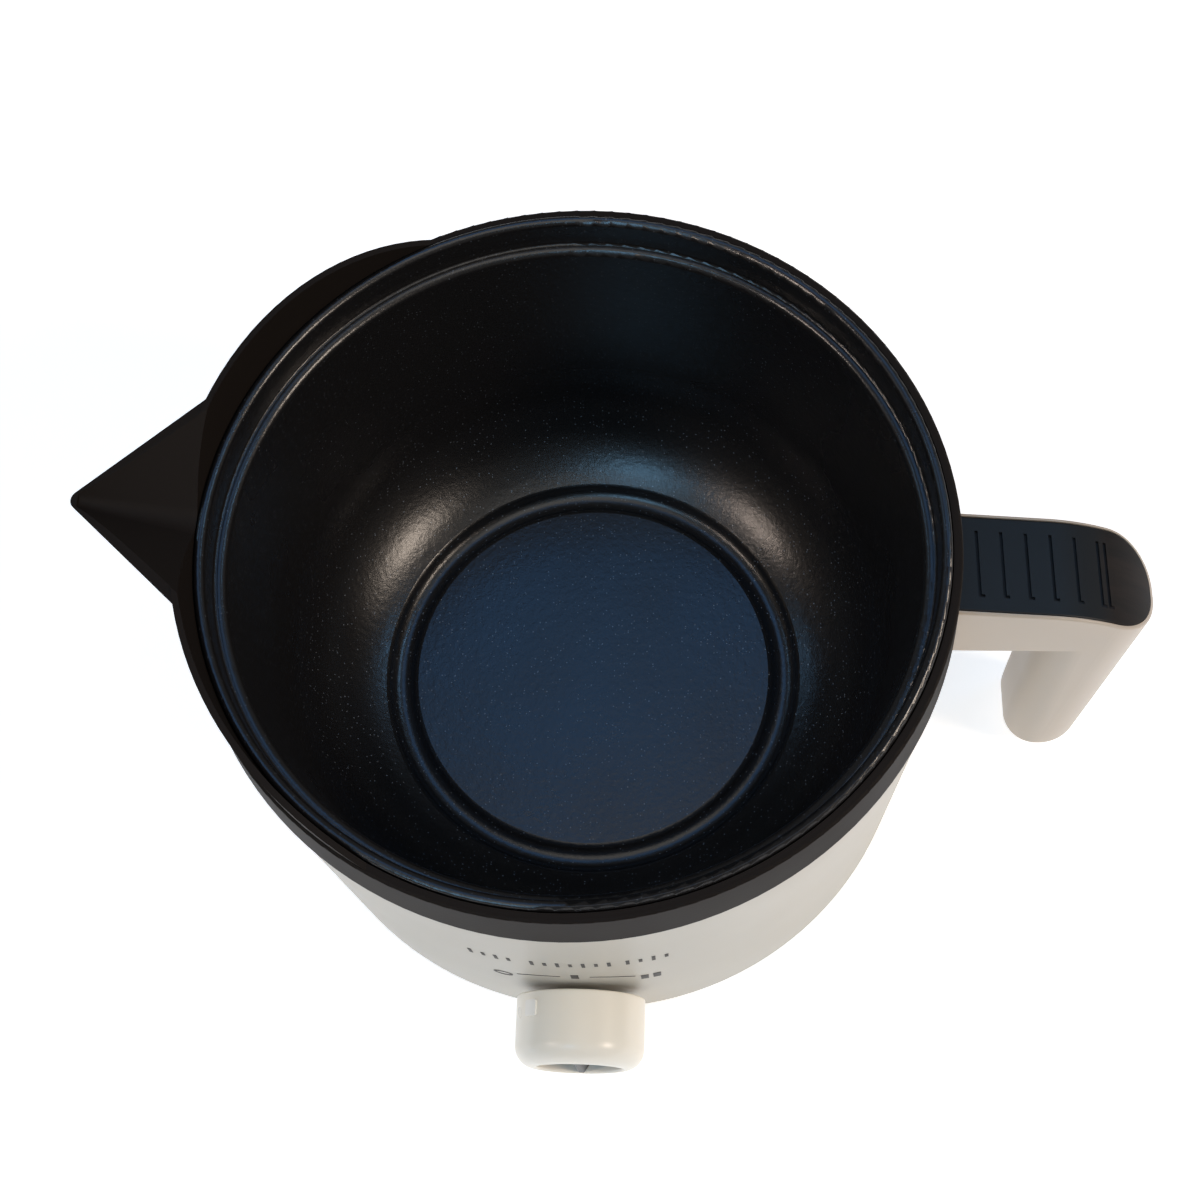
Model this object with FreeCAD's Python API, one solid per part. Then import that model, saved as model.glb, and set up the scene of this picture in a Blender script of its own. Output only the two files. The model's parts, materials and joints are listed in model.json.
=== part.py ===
import FreeCAD, Part
import math
import os

# Candle melting pot: a coated bowl hung in a black spout collar on a white housing, heated
# from below, with a side handle and a rotary heat switch. Millimetres. The floor is z = 0, the
# bowl's axis is x = y = 0. +X points to the handle, -X to the spout, -Y to the knob.

# ---- overall sizes ----
rim_height = 131.0            # floor to the top of the bowl's rim
rim_outer_radius = 91.0
housing_step = 3.5            # rim's outside to the housing's outside
housing_wall = 2.5
housing_floor = 4.0           # lower edge of the housing above the floor
gap = 0.2                     # between pieces that are assembled face to face

# ---- bowl ----
bowl_wall = 1.8
bowl_depth = 99.5             # rim top to the raised centre of the bowl's floor
rim_lip = 2.6                 # rim's outside to the wall that guides a lid
seat_drop = 9.0               # rim top to the lid's ledge
seat_width = 2.9
bowl_taper = 2.3              # narrowing from the ledge to where the floor's round begins
bowl_flat_radius = 45.2       # where the floor's big round ends
groove_radius = 56.6          # middle of the round channel about the raised centre
groove_section = 4.2
groove_depth = 2.0

# ---- collar and spout ----
collar_top_drop = 1.2
collar_wall = 2.2
collar_bottom_drop = 16.6
collar_overhang = 0.5         # beyond the housing, at the collar's lower edge
collar_clearance = 0.3        # to the bowl's rim and to the housing's inside
collar_skirt_depth = 9.4
collar_skirt_wall = 1.6
gasket_thickness = 1.6
guard_rise = 13.2             # top of the pouring guard above the rim
guard_start_x = -40.5         # where the guard begins to rise
guard_crest_x = -90.0         # where its top edge is level
guard_wall = 1.5
spout_turn = -1.3             # degrees the guard and spout sit round from -X
spout_length = 25.7           # guard to the tip
spout_sink = 0.4              # guard top to the spout's top edges at the guard
spout_tip_drop = 1.8          # fall of the top edges from the guard to the tip
spout_half_width = 26.8       # at the guard
spout_lip = 1.8               # tip of the gutter behind the tip of the spout
spout_fold_drop = 1.5         # rim top to the gutter's fold where it leaves the rim
spout_fold_tip_drop = 2.1     # fold below the top edges at the gutter's tip
spout_keel_drop = 6.0         # rim top to the underside where it leaves the collar
spout_keel_tip_drop = 4.2     # underside below the top edges at the tip
spout_tip_round = 2.5
spout_keel_round = 2.0
spout_fold_round = 9.0        # at the guard
spout_fold_tip_round = 2.4
spout_overlap = 9.0           # how far the spout's root runs back inside the guard

# ---- handle ----
handle_length = 52.5          # housing to the outer end
handle_width = 27.4
handle_top_drop = 17.7        # rim top to the top of the arm at the housing
handle_arm_depth = 25.3       # at the housing
handle_slope = 7.35           # degrees the top falls outwards
handle_crown_run = 29.3       # length of the curved part of the top
handle_crown_radius = 46.0
handle_end_round = 12.6
handle_edge_round = 0.7
handle_root_wall = 6.5        # solid end that takes the screws
handle_wall = 3.0
leg_depth_top = 26.5
leg_depth_bottom = 22.4
leg_foot = 6.5                # floor to the free end of the leg
leg_foot_round = 3.0
leg_inner_round = 9.2
grip_border = 0.95
grip_thickness = 2.4
grip_groove_first = 5.0       # housing to the first groove
grip_groove_last = 16.5       # outer end of the handle to the last single groove
grip_groove_count = 6
grip_groove_pair = 2.0        # spacing of the double groove at the outer end
grip_groove_length = 17.8
grip_groove_width = 0.8
grip_groove_deep = 0.9
grip_groove_hook = 1.6        # short turn at the near end of each groove

# ---- knob and switch ----
knob_height = 35.0            # floor to the knob's axis
knob_radius = 17.5
knob_clearance = 1.4          # housing to the knob's back
knob_length = 18.7
knob_wall = 2.4
knob_edge_round = 5.5
dish_radius = 11.6
dish_depth = 2.9
insert_thickness = 1.4
ridge_base = 5.4
ridge_crest = 1.5
shaft_radius = 3.0
shaft_fit = 0.05
off_angle = -45.0             # marks sit around the knob at -45, 0 and 45 degrees from the top
switch_clearance = 1.1        # housing's inside to the switch's face
switch_size = 26.0
switch_depth = 10.5
bushing_radius = 4.6
switch_top_above_axis = 11.0

# ---- heater and base ----
plate_radius = 50.0
plate_thickness = 2.2
element_radius = 36.0
element_tube = 3.2
shield_height = 14.0          # floor to the underside of the heat shield
shield_thickness = 0.8
stud_inset = 4.0              # edge of the heat plate to a stud
stud_radius = 2.0
cover_thickness = 2.5
foot_inset = 19.0             # housing's inside to a foot's centre
foot_radius = 7.5
boss_inset = 3.4              # housing's inside to a boss's centre
boss_radius = 4.2
gland_height = 22.0
gland_bore = 3.6
gland_body = 5.8

UP = FreeCAD.Vector(0, 0, 1)
ORIGIN = FreeCAD.Vector(0, 0, 0)
FRONT = FreeCAD.Vector(0, -1, 0)
BACK = FreeCAD.Vector(0, 1, 0)
OUT = FreeCAD.Vector(1, 0, 0)

housing_radius = rim_outer_radius + housing_step
housing_inner = housing_radius - housing_wall
seat_radius = rim_outer_radius - rim_lip
bowl_mouth_radius = seat_radius - seat_width
bowl_waist_radius = bowl_mouth_radius - bowl_taper
bowl_round = bowl_waist_radius - bowl_flat_radius
plateau_z = rim_height - bowl_depth
bowl_floor_z = plateau_z - groove_depth
bowl_under_z = bowl_floor_z - bowl_wall
seat_z = rim_height - seat_drop
step_under_z = seat_z - bowl_wall
collar_bottom_z = rim_height - collar_bottom_drop
collar_inner_radius = rim_outer_radius + collar_clearance
collar_top_radius = collar_inner_radius + collar_wall
collar_bottom_radius = housing_radius + collar_overhang
guard_outer_radius = collar_inner_radius + guard_wall
spout_reach = guard_outer_radius + spout_length
guard_top_z = rim_height + guard_rise
handle_reach = housing_radius + handle_length
handle_top_z = rim_height - handle_top_drop
arm_under_z = handle_top_z - handle_arm_depth
crown_start_x = handle_reach - handle_crown_run
crown_tilt = math.radians(handle_slope)
crown_start_z = handle_top_z - (crown_start_x - housing_radius) * math.tan(crown_tilt)
crown_centre_x = crown_start_x - handle_crown_radius * math.sin(crown_tilt)
crown_centre_z = crown_start_z - handle_crown_radius * math.cos(crown_tilt)
knob_back = housing_radius + knob_clearance
knob_front = knob_back + knob_length
switch_front = housing_inner - switch_clearance
cover_top_z = housing_floor + cover_thickness
plate_under_z = bowl_under_z - plate_thickness
element_z = plate_under_z - element_tube
shield_top_z = shield_height + shield_thickness
stud_circle = plate_radius - stud_inset
foot_circle = housing_inner - foot_inset
boss_circle = housing_inner - boss_inset
far = housing_radius + 60.0   # beyond every piece


def vec(x, y, z):
    return FreeCAD.Vector(x, y, z)


def rod(radius, length, base, axis=UP):
    return Part.makeCylinder(radius, length, base, axis)


def block(x0, x1, y0, y1, z0, z1):
    return Part.makeBox(x1 - x0, y1 - y0, z1 - z0, vec(x0, y0, z0))


def rounded_wire(points, radii):
    """Closed outline through the points, each corner rounded by its own radius."""
    count = len(points)
    starts, ends, arcs = [], [], []
    for i, corner in enumerate(points):
        before = points[i - 1]
        after = points[(i + 1) % count]
        if radii[i] <= 0:
            starts.append(corner)
            ends.append(corner)
            arcs.append(None)
            continue
        back = (before - corner).normalize()
        ahead = (after - corner).normalize()
        half = back.getAngle(ahead) / 2
        cut = radii[i] / math.tan(half)
        centre_line = (back + ahead).normalize()
        middle = corner + centre_line * (radii[i] / math.sin(half) - radii[i])
        starts.append(corner + back * cut)
        ends.append(corner + ahead * cut)
        arcs.append(middle)
    edges = []
    for i in range(count):
        if arcs[i] is not None:
            edges.append(Part.Arc(starts[i], arcs[i], ends[i]).toShape())
        onward = starts[(i + 1) % count]
        if (onward - ends[i]).Length > 1e-6:
            edges.append(Part.LineSegment(ends[i], onward).toShape())
    return Part.Wire(edges)


def turned(outline, radii=None):
    """Solid of revolution about Z from (radius, height) corners."""
    points = [vec(r, 0, z) for r, z in outline]
    wire = rounded_wire(points, radii or [0] * len(points))
    return Part.Face(wire).revolve(ORIGIN, UP, 360)


def turned_about_knob(outline, radii=None):
    """Solid of revolution about the knob's axis from (radius, distance in front) corners."""
    points = [vec(r, -d, knob_height) for r, d in outline]
    wire = rounded_wire(points, radii or [0] * len(points))
    return Part.Face(wire).revolve(vec(0, 0, knob_height), BACK, 360)


def pie(start_angle, end_angle, radius, z0, z1):
    """Vertical wedge between two directions, in degrees from +X."""
    middle = math.radians((start_angle + end_angle) / 2)
    a = math.radians(start_angle)
    b = math.radians(end_angle)
    corners = [vec(0, 0, z0)] + [
        vec(radius * math.cos(t), radius * math.sin(t), z0) for t in (a, middle, b)]
    face = Part.Face(Part.makePolygon(corners + [corners[0]]))
    return face.extrude(vec(0, 0, z1 - z0))


def around(shape, angles):
    copies = []
    for angle in angles:
        turned_copy = shape.copy()
        turned_copy.rotate(ORIGIN, UP, angle)
        copies.append(turned_copy)
    return copies


def fuse_all(shapes):
    result = shapes[0].multiFuse(shapes[1:]) if len(shapes) > 1 else shapes[0]
    return result.removeSplitter()


def wire_run(points, radius, bend):
    """Insulated wire through the points, with tangent bends."""
    starts, edges = [points[0]], []
    for i in range(1, len(points) - 1):
        back = (points[i - 1] - points[i]).normalize()
        ahead = (points[i + 1] - points[i]).normalize()
        half = back.getAngle(ahead) / 2
        cut = bend / math.tan(half)
        middle = points[i] + (back + ahead).normalize() * (bend / math.sin(half) - bend)
        first = points[i] + back * cut
        last = points[i] + ahead * cut
        edges.append(Part.LineSegment(starts[-1], first).toShape())
        edges.append(Part.Arc(first, middle, last).toShape())
        starts.append(last)
    edges.append(Part.LineSegment(starts[-1], points[-1]).toShape())
    spine = Part.Wire(edges)
    direction = points[1] - points[0]
    section = Part.Wire([Part.makeCircle(radius, points[0], direction)])
    return spine.makePipeShell([section], True, True)


def pan_head_screw(base, axis, shank_radius, length, head_radius, head_height):
    """Screw whose head's underside sits at base; the shank runs along the axis."""
    axis = FreeCAD.Vector(axis).normalize()
    shank = rod(shank_radius, length, base, axis)
    head = rod(head_radius, head_height, base, axis * -1)
    slot_length = head_radius * 1.2
    side = axis.cross(vec(0.3, 0.5, 0.8)).normalize()
    other = axis.cross(side)
    cuts = []
    for along, across in ((side, other), (other, side)):
        start = base - axis * head_height
        corners = [start + along * (sx * slot_length / 2) + across * (sy * 0.35)
                   for sx, sy in ((-1, -1), (1, -1), (1, 1), (-1, 1))]
        face = Part.Face(Part.makePolygon(corners + [corners[0]]))
        cuts.append(face.extrude(axis * (head_height * 0.5)))
    return shank.fuse(head).removeSplitter().cut(Part.makeCompound(cuts))


# ---- bowl ----

def waist_point(grow):
    """Where the tapered inner wall meets the big round, for a skin grown outwards."""
    centre_r = bowl_waist_radius - bowl_round
    centre_z = bowl_floor_z + bowl_round
    radius = bowl_round + grow
    mouth = (bowl_mouth_radius + grow, seat_z)
    dx = mouth[0] - centre_r
    dz = mouth[1] - centre_z
    reach = math.hypot(dx, dz)
    angle = math.atan2(dz, dx) - math.acos(radius / reach)
    return centre_r, centre_z, radius, angle


def bowl_skin(grow):
    """Bowl-shaped solid from just above the lid's ledge down."""
    top = seat_z + 1.0
    centre_r, centre_z, radius, angle = waist_point(grow)
    tangent = vec(centre_r + radius * math.cos(angle), 0, centre_z + radius * math.sin(angle))
    low = vec(centre_r, 0, centre_z - radius)
    half_way = (angle - math.pi / 2) / 2
    middle = vec(centre_r + radius * math.cos(half_way), 0,
                 centre_z + radius * math.sin(half_way))
    mouth = vec(bowl_mouth_radius + grow, 0, seat_z)
    shoulder = vec(bowl_mouth_radius + grow, 0, top)
    axis_top = vec(0, 0, top)
    axis_low = vec(0, 0, centre_z - radius)
    lines = [Part.LineSegment(axis_top, shoulder), Part.LineSegment(shoulder, mouth),
             Part.LineSegment(mouth, tangent), Part.Arc(tangent, middle, low),
             Part.LineSegment(low, axis_low), Part.LineSegment(axis_low, axis_top)]
    edges = [line.toShape() for line in lines]
    return Part.Face(Part.Wire(edges)).revolve(ORIGIN, UP, 360)


def on_ring(edge, radius, height):
    """True for an edge that lies on a level circle about the bowl's axis."""
    first = edge.FirstParameter
    length = edge.LastParameter - first
    points = [edge.valueAt(first + length * share) for share in (0, 0.3, 0.7)]
    return all(abs(math.hypot(p.x, p.y) - radius) < 0.05 and abs(p.z - height) < 0.05
               for p in points)


def round_rings(shape, rings):
    """Fillet the circular edges named by (radius, height, fillet)."""
    for radius, height, fillet in rings:
        shape = shape.makeFillet(fillet, [e for e in shape.Edges if on_ring(e, radius, height)])
    return shape


def groove_rings():
    """Inner and outer edges of the channel, each as radius and height."""
    across = math.sqrt(groove_section ** 2 - (groove_section - groove_depth) ** 2)
    inner = (groove_radius - across, plateau_z)
    dr = groove_radius - bowl_flat_radius
    dz = groove_section - bowl_round
    apart = math.hypot(dr, dz)
    along = (bowl_round ** 2 - groove_section ** 2 + apart ** 2) / (2 * apart)
    aside = math.sqrt(bowl_round ** 2 - along ** 2)
    outer = (bowl_flat_radius + (along * dr - aside * dz) / apart,
             bowl_floor_z + bowl_round + (along * dz + aside * dr) / apart)
    return inner, outer


def make_inner_pot():
    outer = bowl_skin(bowl_wall)
    step = rod(seat_radius + bowl_wall, rim_height - step_under_z, vec(0, 0, step_under_z))
    bead_drop = 3.2
    bead = rod(rim_outer_radius, bead_drop, vec(0, 0, rim_height - bead_drop))
    inner_ring, outer_ring = groove_rings()
    sole_radius = outer_ring[0]
    outside_round = bowl_round + bowl_wall
    sole_rise = outside_round - math.sqrt(
        outside_round ** 2 - (sole_radius - bowl_flat_radius) ** 2)
    sole = rod(sole_radius, sole_rise, vec(0, 0, bowl_under_z))
    body = fuse_all([outer, step, bead, sole])
    mouth = rod(seat_radius, seat_drop + 1.0, vec(0, 0, seat_z))
    plateau = rod(groove_radius, groove_depth, vec(0, 0, bowl_floor_z))
    channel = Part.makeTorus(groove_radius, groove_section,
                             vec(0, 0, bowl_floor_z + groove_section))
    body = body.cut(fuse_all([bowl_skin(0), mouth])).fuse(plateau).removeSplitter()
    body = body.cut(channel)
    rings = [
        (seat_radius, rim_height, 1.55),
        (rim_outer_radius, rim_height, 0.95),
        (bowl_mouth_radius, seat_z, 2.0),
        (seat_radius, seat_z, 0.7),
        (inner_ring[0], inner_ring[1], 1.8),
        (outer_ring[0], outer_ring[1], 1.8),
        (sole_radius, bowl_under_z, min(1.8, 0.62 * sole_rise)),
    ]
    return round_rings(body, rings)


def make_rim_gasket():
    inner = bowl_mouth_radius + bowl_wall + 0.6
    outer = seat_radius + bowl_wall - 0.2
    low = step_under_z - gasket_thickness
    outline = [(inner, low), (outer, low), (outer, step_under_z), (inner, step_under_z)]
    return turned(outline, [0.4, 0.4, 0, 0])


# ---- collar ----

def guard_profile():
    """Side view of everything below the guard's curved top edge."""
    run = guard_start_x - guard_crest_x
    rise = guard_rise + collar_top_drop
    radius = (run ** 2 + rise ** 2) / (2 * rise)
    start = vec(guard_start_x, -far, rim_height - collar_top_drop)
    end = vec(guard_crest_x, -far, guard_top_z)
    half = math.asin(run / radius) / 2
    middle = vec(guard_crest_x + radius * math.sin(half), -far,
                 guard_top_z - radius + radius * math.cos(half))
    outside = vec(-far, -far, guard_top_z)
    low_outside = vec(-far, -far, collar_bottom_z)
    low_start = vec(guard_start_x, -far, collar_bottom_z)
    edges = [Part.Arc(start, middle, end).toShape()]
    loop = [end, outside, low_outside, low_start, start]
    edges += [Part.LineSegment(a, b).toShape() for a, b in zip(loop, loop[1:])]
    return Part.Face(Part.Wire(edges)).extrude(vec(0, 2 * far, 0))


def section_at(x, half_width, top_z, bottom_z):
    corners = [vec(x, -half_width, top_z), vec(x, half_width, top_z), vec(x, 0, bottom_z)]
    return Part.makePolygon(corners + [corners[0]])


def folded_wedge(root_x, tip_x, root, tip, root_round, tip_round):
    """Solid between two V sections, each given as half width, top height and fold height."""
    wedge = Part.makeLoft([section_at(root_x, *root), section_at(tip_x, *tip)], True, True)
    fold = [e for e in wedge.Edges if abs(e.valueAt(e.FirstParameter).y) < 0.01
            and abs(e.valueAt(e.LastParameter).y) < 0.01 and e.BoundBox.XLength > 5]
    rounds = [root_round, tip_round]
    if fold[0].valueAt(fold[0].FirstParameter).x < fold[0].valueAt(fold[0].LastParameter).x:
        rounds.reverse()
    return wedge.makeFillet(rounds[0], rounds[1], fold)


def spout_line(x, at_root, at_tip):
    """Straight run of a height from the guard's face to the spout's tip."""
    share = (-guard_outer_radius - x) / (spout_reach - guard_outer_radius)
    return at_root + (at_tip - at_root) * share


def spout_top_at(x):
    """Height of the spout's top edges."""
    return spout_line(x, guard_top_z - spout_sink, guard_top_z - spout_sink - spout_tip_drop)


def spout_corner_x():
    """Where the spout's sides leave the guard's outer face."""
    return -math.sqrt(guard_outer_radius ** 2 - spout_half_width ** 2)


def spout_plan(z0, z1):
    """Spout seen from above: a blunt arrow head with a rounded point."""
    corner_x = spout_corner_x()
    half_angle = math.atan2(spout_half_width, spout_reach + corner_x)
    point_x = -(spout_reach + spout_tip_round * (1 / math.sin(half_angle) - 1))
    grow = spout_half_width / (corner_x - point_x)
    root_x = corner_x + spout_overlap
    half_root = grow * (root_x - point_x)
    points = [vec(root_x, -half_root, z0), vec(root_x, half_root, z0), vec(point_x, 0, z0)]
    return Part.Face(rounded_wire(points, [0, 0, spout_tip_round])).extrude(vec(0, 0, z1 - z0))


def make_beak():
    """Spout's outer shape: a wedge with a soft keel."""
    tip_under = spout_top_at(-spout_reach) - spout_keel_tip_drop
    end_x = -spout_reach - 2.0
    root_x = spout_corner_x() + spout_overlap
    grow = spout_half_width / (spout_corner_x() - end_x)
    root, tip = [(max(0.02, grow * (x - end_x)), spout_top_at(x),
                  spout_line(x, rim_height - spout_keel_drop, tip_under))
                 for x in (root_x, end_x)]
    wedge = folded_wedge(root_x, end_x, root, tip, spout_keel_round, spout_keel_round)
    return wedge.common(spout_plan(rim_height - 30, rim_height + 30))


def make_gutter():
    """Hollow of the spout, open through the guard towards the bowl."""
    above = 4.0
    tip_fold = spout_top_at(-spout_reach) - spout_fold_tip_drop
    tip_x = -(spout_reach - spout_lip)
    root_x = spout_corner_x() + spout_overlap + 5.0
    grow = spout_half_width / (spout_corner_x() + spout_reach + 2.0)
    fold_root = spout_line(root_x, rim_height - spout_fold_drop, tip_fold)
    top_root = spout_top_at(root_x)
    spread = (top_root + above - fold_root) / (top_root - fold_root)
    root = (grow * (root_x - tip_x) * spread, top_root + above, fold_root)
    tip = (above * spread * 0.9, spout_top_at(tip_x) + above,
           spout_line(tip_x, rim_height - spout_fold_drop, tip_fold))
    return folded_wedge(root_x, tip_x, root, tip, spout_fold_round, spout_fold_tip_round)


def make_spout_collar():
    top_z = rim_height - collar_top_drop
    ledge_top = step_under_z - gasket_thickness
    ledge_bottom = ledge_top - 2.8
    skirt_outer = housing_inner - collar_clearance
    skirt_bottom = collar_bottom_z - collar_skirt_depth
    skirt_inner = skirt_outer - collar_skirt_wall
    ledge_inner = bowl_mouth_radius + bowl_wall + 0.5
    outline = [
        (collar_inner_radius, top_z), (collar_top_radius, top_z),
        (collar_bottom_radius, collar_bottom_z), (skirt_outer, collar_bottom_z),
        (skirt_outer, skirt_bottom), (skirt_inner, skirt_bottom), (skirt_inner, ledge_bottom),
        (ledge_inner, ledge_bottom), (ledge_inner, ledge_top), (collar_inner_radius, ledge_top),
    ]
    ring = turned(outline, [0, 0.7, 0.3, 0, 0.3, 0.3, 0.8, 0.4, 0.4, 0.5])
    wall = turned([(collar_inner_radius, top_z - 1.0), (guard_outer_radius, top_z - 1.0),
                   (guard_outer_radius, guard_top_z + 1.0),
                   (collar_inner_radius, guard_top_z + 1.0)])
    wall = wall.common(guard_profile())
    beak = make_beak().cut(rod(collar_inner_radius, 2 * rim_height, ORIGIN))
    gutter = make_gutter()
    for piece in (wall, beak, gutter):
        piece.rotate(ORIGIN, UP, spout_turn)
    body = fuse_all([ring, wall, beak])
    hole = rod(collar_inner_radius, 40, vec(0, 0, ledge_top))
    return body.cut(hole).cut(gutter)


# ---- housing ----

def lug_angles():
    return (60, 180, 300)


def boss_angles():
    return (30, 150, 270)


def make_outer_housing():
    top = collar_bottom_z - gap
    outline = [(housing_inner, housing_floor), (housing_radius, housing_floor),
               (housing_radius, top), (housing_inner, top)]
    shell = turned(outline, [0.3, 1.8, 0.5, 0.3])
    lug_inner = housing_inner - 12.0
    lug_ring = turned([(lug_inner, shield_top_z), (housing_inner + 0.4, shield_top_z),
                       (housing_inner + 0.4, shield_top_z + 4.0),
                       (lug_inner, shield_top_z + 4.0)])
    lugs = [lug_ring.common(pie(a - 5, a + 5, far, 0, 60)) for a in lug_angles()]
    boss_top = shield_height - 0.4
    boss = rod(boss_radius, boss_top - cover_top_z - 0.1, vec(boss_circle, 0, cover_top_z + 0.1))
    keep = rod(housing_inner + 0.4, 60, ORIGIN)
    bosses = [b.common(keep) for b in around(boss, boss_angles())]
    body = fuse_all([shell] + lugs + bosses)
    pilot = rod(1.25, 6.0, vec(boss_circle - 1.2, 0, cover_top_z))
    body = body.cut(Part.makeCompound(around(pilot, boss_angles())))
    body = body.cut(rod(bushing_radius + 0.15, 20, vec(0, 7 - housing_inner, knob_height), FRONT))
    body = body.cut(rod(gland_body + 0.1, 20, vec(0, housing_inner - 7, gland_height), BACK))
    for z in handle_screw_heights():
        body = body.cut(rod(2.2, 20, vec(housing_inner - 7, 0, z), OUT))
    return body


def make_base_cover():
    disc = turned([(0, housing_floor), (housing_inner - gap, housing_floor),
                   (housing_inner - gap, cover_top_z), (0, cover_top_z)], [0, 0.8, 0, 0])
    screw_holes = around(rod(1.7, 20, vec(boss_circle - 1.2, 0, 0)), boss_angles())
    sinks = around(rod(3.3, 1.2, vec(boss_circle - 1.2, 0, housing_floor - 0.1)), boss_angles())
    foot_holes = around(rod(3.1, 20, vec(foot_circle, 0, 0)), foot_angles())
    slots = []
    for row in (26, 38, 50):
        slot = block(row - 1.5, row + 1.5, -9, 9, 0, 20)
        slots += around(slot, range(0, 360, 60))
    cuts = Part.makeCompound(screw_holes + sinks + foot_holes + slots)
    return disc.cut(cuts)


def foot_angles():
    return (45, 135, 225, 315)


def make_rubber_feet():
    pad = turned([(0, 0), (foot_radius, 0), (foot_radius, housing_floor - 0.05),
                  (0, housing_floor - 0.05)], [0, 1.2, 0.4, 0])
    stem = rod(3.0, cover_thickness + 0.6, vec(0, 0, housing_floor - 0.5))
    barb = turned([(0, cover_top_z + 0.05), (3.9, cover_top_z + 0.05), (2.2, cover_top_z + 2.4),
                   (0, cover_top_z + 2.4)])
    foot = fuse_all([pad, stem, barb])
    foot.translate(vec(foot_circle, 0, 0))
    return Part.makeCompound(around(foot, foot_angles()))


def make_base_screws():
    screws = []
    for angle in boss_angles():
        a = math.radians(angle)
        reach = boss_circle - 1.2
        seat = vec(reach * math.cos(a), reach * math.sin(a), housing_floor + 1.1)
        screws.append(pan_head_screw(seat, UP, 1.2, 6.8, 2.7, 1.0))
    return Part.makeCompound(screws)


# ---- handle ----

def handle_screw_heights():
    return (arm_under_z + 4.5, arm_under_z + 12.0)


def handle_top(x):
    """Height of the handle's top surface."""
    if x <= crown_start_x:
        return handle_top_z - (x - housing_radius) * math.tan(crown_tilt)
    return crown_centre_z + math.sqrt(handle_crown_radius ** 2 - (x - crown_centre_x) ** 2)


def crown_point(radius, angle):
    return vec(crown_centre_x + radius * math.sin(angle), -60,
               crown_centre_z + radius * math.cos(angle))


def crown(drop):
    """Side view of the space under the handle's top, lowered by drop."""
    radius = handle_crown_radius - drop
    last = math.asin((handle_reach + 1 - crown_centre_x) / radius)
    start = crown_point(radius, crown_tilt)
    middle = crown_point(radius, (crown_tilt + last) / 2)
    end = crown_point(radius, last)
    near_x = housing_radius - 30
    near_z = start.z + (start.x - near_x) * math.tan(crown_tilt)
    loop = [end, vec(end.x, -60, 0), vec(near_x, -60, 0), vec(near_x, -60, near_z), start]
    edges = [Part.Arc(start, middle, end).toShape()]
    edges += [Part.LineSegment(a, b).toShape() for a, b in zip(loop, loop[1:])]
    return Part.Face(Part.Wire(edges)).extrude(vec(0, 120, 0))


def arm_plan(inset, x_start, z0, z1):
    """Arm seen from above: straight sides and a rounded outer end."""
    half = handle_width / 2 - inset
    x_end = handle_reach - inset
    points = [vec(x_start, -half, z0), vec(x_end, -half, z0), vec(x_end, half, z0),
              vec(x_start, half, z0)]
    end_round = handle_end_round - inset
    wire = rounded_wire(points, [0, end_round, end_round, 0])
    return Part.Face(wire).extrude(vec(0, 0, z1 - z0))


def leg_solid(inset, z_low, z_high):
    """Leg between two heights; its inner face leans outwards on the way down."""
    half = handle_width / 2 - inset
    x_out = handle_reach - inset
    inner_round = leg_inner_round - inset
    outer_round = handle_end_round - inset
    sections = []
    for z in (z_low, z_high):
        share = (arm_under_z - z) / (arm_under_z - leg_foot)
        x_in = handle_reach - leg_depth_top + (leg_depth_top - leg_depth_bottom) * share + inset
        points = [vec(x_in, -half, z), vec(x_out, -half, z), vec(x_out, half, z),
                  vec(x_in, half, z)]
        sections.append(rounded_wire(points, [inner_round, outer_round, outer_round,
                                              inner_round]))
    return Part.makeLoft(sections, True, True)


def housing_barrel(clearance):
    """The housing's round outside, grown by a clearance."""
    return rod(housing_radius + clearance, 200, ORIGIN)


def make_handle_shell():
    start = housing_radius - 6
    arm = arm_plan(0, start, arm_under_z, rim_height).common(crown(0))
    arm = arm.makeFillet(handle_edge_round, [e for e in arm.Edges if on_top_border(e)
                                             and e.BoundBox.XMax > start + 0.1])
    leg = leg_solid(0, leg_foot, arm_under_z + 4)
    foot_edges = [e for e in leg.Edges if abs(e.BoundBox.ZMax - leg_foot) < 0.01]
    leg = leg.makeFillet(leg_foot_round, foot_edges)
    body = fuse_all([arm, leg])
    trough = arm_plan(handle_wall + 1.2, housing_radius + handle_root_wall,
                      arm_under_z + handle_wall, rim_height)
    leg_hollow = leg_solid(handle_wall, leg_foot + handle_wall, arm_under_z + handle_wall + 1)
    pocket = arm_plan(grip_border - 0.1, start, arm_under_z, rim_height).cut(crown(grip_thickness))
    body = body.cut(trough).cut(leg_hollow).cut(pocket)
    for z in handle_screw_heights():
        body = body.cut(rod(1.3, 12, vec(housing_radius, 0, z), OUT))
    return body.cut(housing_barrel(0.15))


def grip_groove(x):
    half = grip_groove_length / 2
    low = handle_top(x) - grip_groove_deep
    high = low + 3.0
    slot = block(x, x + grip_groove_width, -half, half, low, high)
    hook = block(x, x + grip_groove_hook, -half, grip_groove_width - half, low, high)
    return slot.fuse(hook).removeSplitter()


def make_handle_grip():
    pad = arm_plan(grip_border, housing_radius - 6, arm_under_z, rim_height)
    pad = pad.common(crown(0)).cut(crown(grip_thickness - 0.05)).cut(housing_barrel(0.25))
    pad = pad.makeFillet(0.5, [e for e in pad.Edges if on_top_border(e)])
    first = housing_radius + grip_groove_first
    pitch = (handle_reach - grip_groove_last - first) / (grip_groove_count - 1)
    places = [first + i * pitch for i in range(grip_groove_count)]
    places.append(places[-1] + grip_groove_pair)
    return pad.cut(Part.makeCompound([grip_groove(x) for x in places]))


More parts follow.
